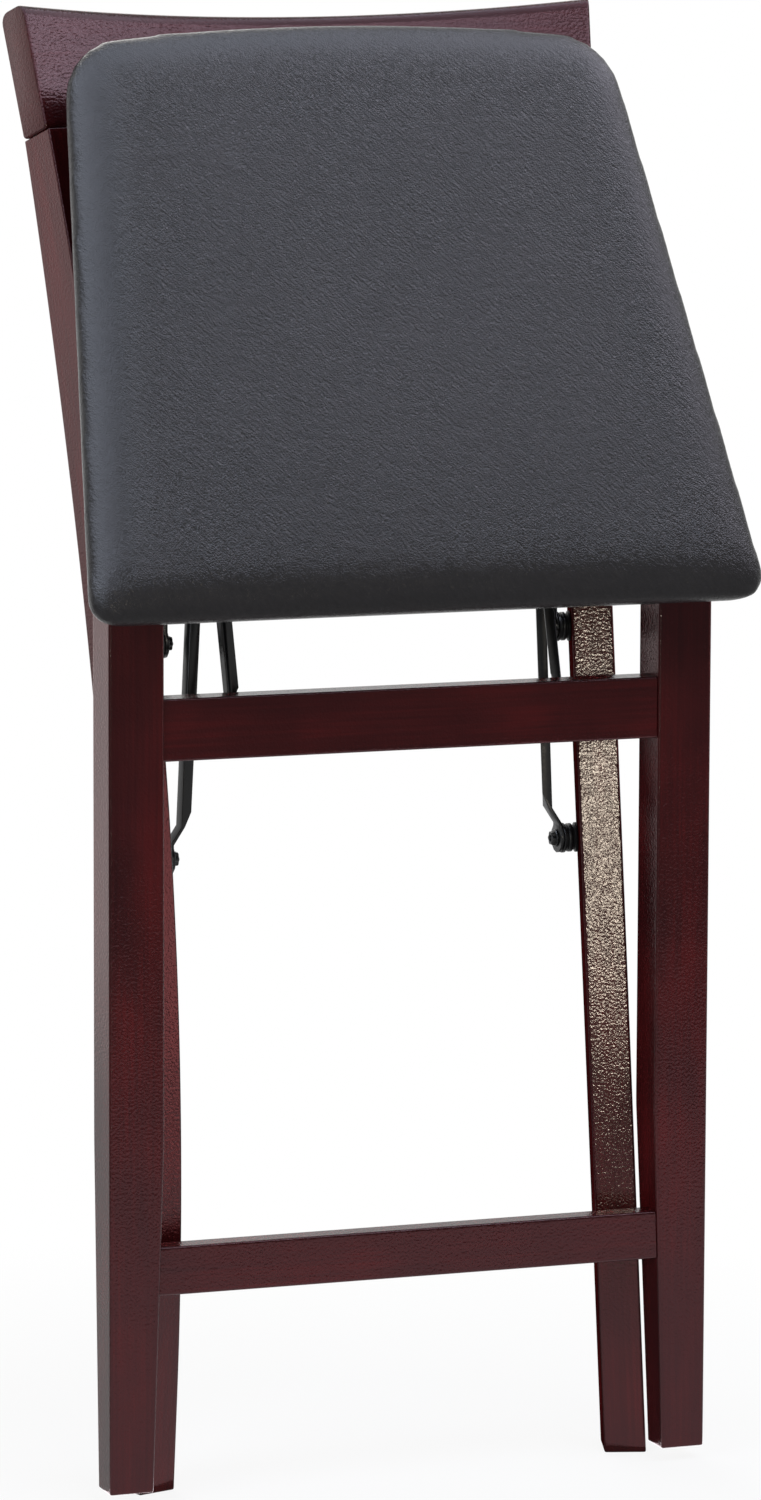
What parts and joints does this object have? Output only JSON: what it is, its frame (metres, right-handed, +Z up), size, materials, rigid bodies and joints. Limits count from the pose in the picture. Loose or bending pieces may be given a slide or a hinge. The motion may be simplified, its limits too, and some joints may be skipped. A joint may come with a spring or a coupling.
{
  "type": "folding bar stool",
  "caption": "Folding wooden bar stool with a padded seat, a curved back and black steel fold links, standing folded flat.",
  "frame": {"origin": "on the floor, under the middle of the folded stool's bounding box. The rear feet stand on the floor and the front feet hang 9 mm above it", "axes": "+X across the stool to the right as seen from the front, +Y from the front to the back, +Z up"},
  "size_m": [0.4618, 0.3094, 0.9839],
  "materials": {
    "wood": "dark red-brown satin lacquer",
    "steel": "black, half gloss",
    "spacer": "black, satin",
    "board": "black dust cover over plywood",
    "vinyl": "charcoal grained vinyl"
  },
  "bodies": {
    "front_frame": {"front_leg_right": "wood", "front_leg_left": "wood", "front_apron": "wood", "foot_stretcher": "wood", "tie_bracket_right": "steel", "tie_bracket_left": "steel", "tie_pin_right": "steel", "tie_pin_left": "steel", "seat_hinge_bolt_right": "steel", "seat_hinge_bolt_left": "steel"},
    "seat": {"seat_board": "board", "seat_pad": "vinyl", "hinge_bracket_right": "steel", "hinge_bracket_left": "steel", "link_bracket_right": "steel", "link_bracket_left": "steel", "support_pin_right": "steel", "support_pin_left": "steel"},
    "support_links": {"support_link_right": "steel", "support_link_left": "steel"},
    "rear_frame": {"rear_leg_right": "wood", "rear_leg_left": "wood", "crest_rail": "wood", "lower_back_rail": "wood", "upper_spacer_right": "spacer", "upper_spacer_left": "spacer", "lower_spacer_right": "spacer", "lower_spacer_left": "spacer", "upper_bolt_right": "steel", "upper_bolt_left": "steel", "lower_bolt_right": "steel", "lower_bolt_left": "steel"},
    "brace_links": {"brace_link_right": "steel", "brace_link_left": "steel", "brace_pin_right": "steel", "brace_pin_left": "steel"},
    "tie_links": {"tie_link_right": "steel", "tie_link_left": "steel", "join_pin_right": "steel", "join_pin_left": "steel"}
  },
  "joints": [
    {"name": "seat_fold", "type": "hinge", "parent": "front_frame", "child": "seat", "pos_m": [0, -0.08957, 0.5993], "axis": [-1, 0, 0], "range_deg": [0, 58.2]},
    {"name": "support_on_seat", "type": "hinge", "parent": "seat", "child": "support_links", "pos_m": [0, 0.00318, 0.7752], "axis": [1, 0, 0], "range_deg": [0, 145.1]},
    {"name": "rear_on_support", "type": "hinge", "parent": "support_links", "child": "rear_frame", "pos_m": [0, -0.00007, 0.5628], "axis": [-1, 0, 0], "range_deg": [0, 68.8]},
    {"name": "brace_on_rear", "type": "hinge", "parent": "rear_frame", "child": "brace_links", "pos_m": [0, -0.01307, 0.4188], "axis": [1, 0, 0], "range_deg": [0, 43.2]},
    {"name": "tie_on_front", "type": "hinge", "parent": "front_frame", "child": "tie_links", "pos_m": [0, -0.07157, 0.5213], "axis": [-1, 0, 0], "range_deg": [0, 50.9]}
  ],
  "couplings": [
    {"joint": "support_on_seat", "follows": "seat_fold", "ratio": 2.4875},
    {"joint": "rear_on_support", "follows": "seat_fold", "ratio": 1.1783},
    {"joint": "brace_on_rear", "follows": "seat_fold", "ratio": 0.73984},
    {"joint": "tie_on_front", "follows": "seat_fold", "ratio": 0.87047}
  ]
}
